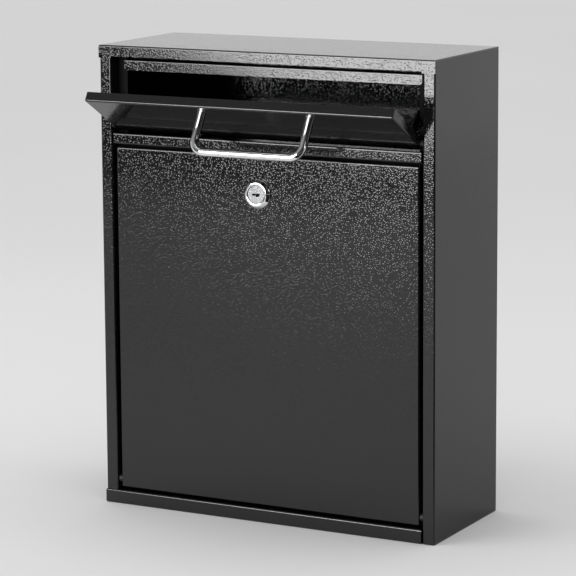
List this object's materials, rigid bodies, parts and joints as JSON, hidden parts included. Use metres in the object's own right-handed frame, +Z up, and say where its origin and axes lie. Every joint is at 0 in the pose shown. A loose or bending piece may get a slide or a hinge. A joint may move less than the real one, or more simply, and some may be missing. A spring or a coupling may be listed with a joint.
{
  "type": "locking mailbox",
  "caption": "Wall mailbox of folded black steel with a hinged mail-slot flap, a bent wire pull handle and a drop-down door closed by a cam lock.",
  "frame": {"origin": "middle of the casing's underside", "axes": "+Z up the casing, the face with slot and door looks along -Y, the wall side is +Y, +X to the right of someone facing the door"},
  "size_m": [0.3, 0.1646, 0.38],
  "materials": {
    "black_powder_coat": "semi-gloss textured powder coat",
    "chrome": "polished",
    "zinc_plated_steel": "zinc plated",
    "brass": "stamped",
    "rubber": "matte",
    "nylon": "moulded"
  },
  "bodies": {
    "casing": {"top_panel": "black_powder_coat", "bottom_panel": "black_powder_coat", "left_side_panel": "black_powder_coat", "right_side_panel": "black_powder_coat", "back_panel": "black_powder_coat", "header_rail": "black_powder_coat", "crossbar": "black_powder_coat", "flap_bumpers": "rubber", "flap_pivot_pin_left": "zinc_plated_steel", "flap_pivot_pin_right": "zinc_plated_steel", "flap_spacer_left": "nylon", "flap_spacer_right": "nylon", "door_pivot_pin_left": "zinc_plated_steel", "door_pivot_pin_right": "zinc_plated_steel", "door_spacer_left": "nylon", "door_spacer_right": "nylon"},
    "flap": {"slot_flap": "black_powder_coat", "flap_handle": "chrome", "handle_washers": "zinc_plated_steel", "handle_screws": "zinc_plated_steel", "flap_stop_arm_left": "black_powder_coat", "flap_stop_arm_right": "black_powder_coat"},
    "door": {"door_panel": "black_powder_coat", "lock_housing": "chrome", "lock_nut": "zinc_plated_steel"},
    "lock_core": {"lock_plug": "chrome", "wafer_tumblers": "brass", "tumbler_springs": "zinc_plated_steel", "lock_cam": "zinc_plated_steel", "cam_washer": "zinc_plated_steel", "cam_screw": "zinc_plated_steel"}
  },
  "joints": [
    {"name": "flap_hinge", "type": "hinge", "parent": "casing", "child": "flap", "pos_m": [0, -0.0559, 0.3155], "axis": [1, 0, 0], "range_deg": [-60, 0]},
    {"name": "door_hinge", "type": "hinge", "parent": "casing", "child": "door", "pos_m": [0, -0.0535, 0.0202], "axis": [1, 0, 0], "range_deg": [0, 90]},
    {"name": "lock_turn", "type": "hinge", "parent": "door", "child": "lock_core", "pos_m": [-0.0055, -0.05, 0.267], "axis": [0, -1, 0], "range_deg": [0, 90]}
  ]
}
